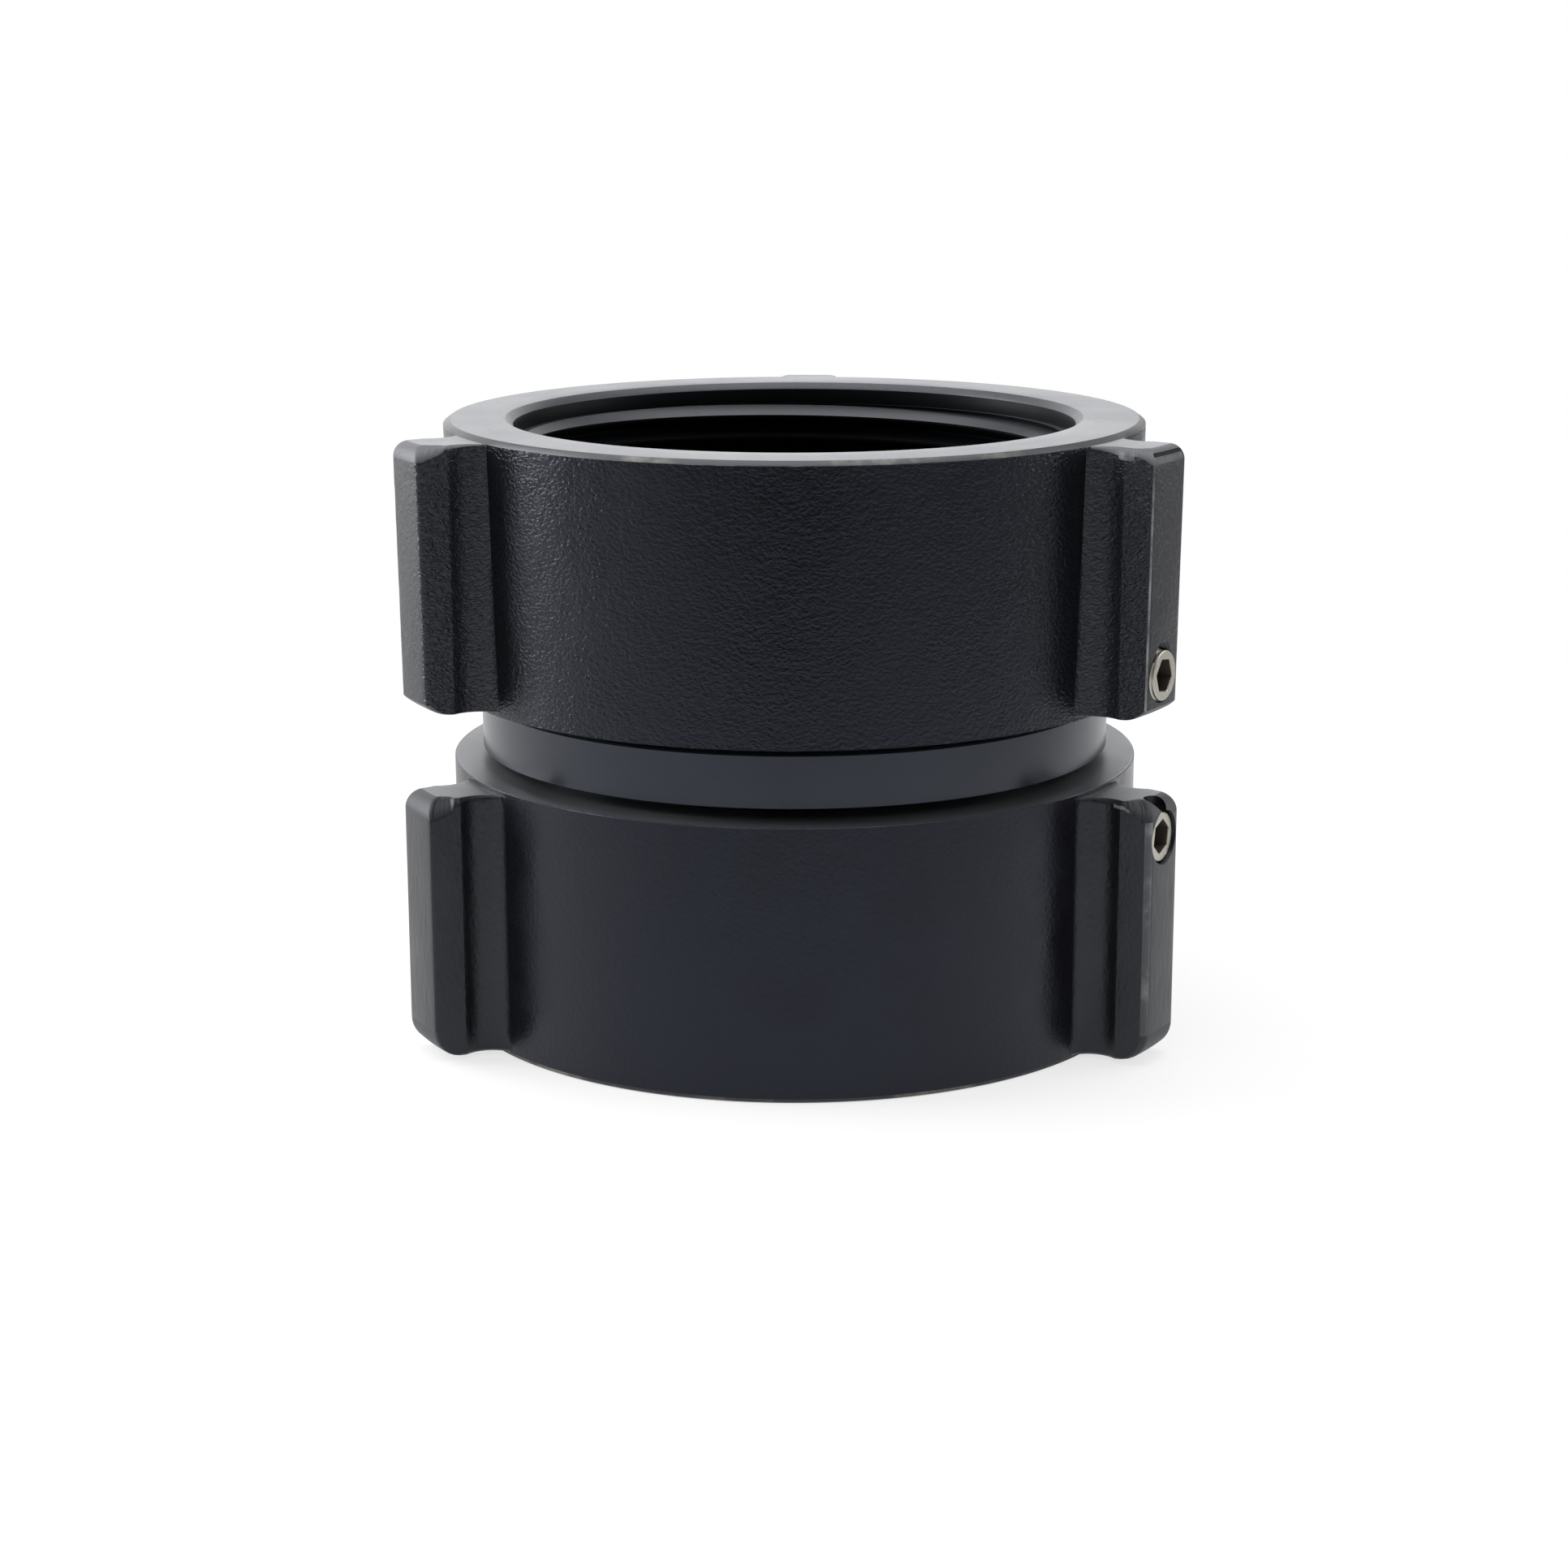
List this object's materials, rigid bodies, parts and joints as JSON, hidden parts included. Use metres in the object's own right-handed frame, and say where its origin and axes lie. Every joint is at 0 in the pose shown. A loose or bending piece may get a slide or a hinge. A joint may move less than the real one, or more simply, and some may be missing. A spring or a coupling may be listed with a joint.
{
  "type": "double female swivel hose adapter",
  "caption": "Hose adapter with a threaded swivel ring at each end of a short sleeve, each ring with rocker lugs and a screw that closes its ball race.",
  "frame": {"origin": "middle of the sleeve, on the axis of the waterway, halfway between the two mouths", "axes": "+Z along the waterway, out of the upper ring's mouth; +X points between two lugs of the upper ring, 32.4 degrees from the lug that holds its plug"},
  "size_m": [0.1034, 0.1052, 0.0832],
  "materials": {
    "turned_black": "turned, black anodised, satin",
    "cast_black": "cast, pebbled, black anodised, machined ends",
    "satin_black": "extruded, black anodised, satin, machined ends",
    "bearing_steel": "polished steel balls",
    "plated_steel": "nickel-plated set screw",
    "gasket_rubber": "moulded black rubber, matt"
  },
  "bodies": {
    "sleeve": {"sleeve_body": "turned_black"},
    "upper_swivel": {"upper_ring": "cast_black", "upper_plug": "plated_steel", "upper_gasket": "gasket_rubber"},
    "lower_swivel": {"lower_ring": "satin_black", "lower_plug": "plated_steel", "lower_gasket": "gasket_rubber"},
    "upper_ball_row": {"upper_balls": "bearing_steel"},
    "lower_ball_row": {"lower_balls": "bearing_steel"}
  },
  "joints": [
    {"name": "upper_turn", "type": "hinge", "parent": "sleeve", "child": "upper_swivel", "pos_m": [0, 0, 0.0233], "axis": [0, 0, 1], "continuous": true},
    {"name": "lower_turn", "type": "hinge", "parent": "sleeve", "child": "lower_swivel", "pos_m": [0, 0, -0.0233], "axis": [0, 0, 1], "continuous": true},
    {"name": "upper_balls_roll", "type": "hinge", "parent": "sleeve", "child": "upper_ball_row", "pos_m": [0, 0, 0.011], "axis": [0, 0, 1], "continuous": true},
    {"name": "lower_balls_roll", "type": "hinge", "parent": "sleeve", "child": "lower_ball_row", "pos_m": [0, 0, -0.011], "axis": [0, 0, 1], "continuous": true}
  ],
  "couplings": [
    {"joint": "upper_balls_roll", "follows": "upper_turn", "ratio": 0.5416},
    {"joint": "lower_balls_roll", "follows": "lower_turn", "ratio": 0.5416}
  ]
}
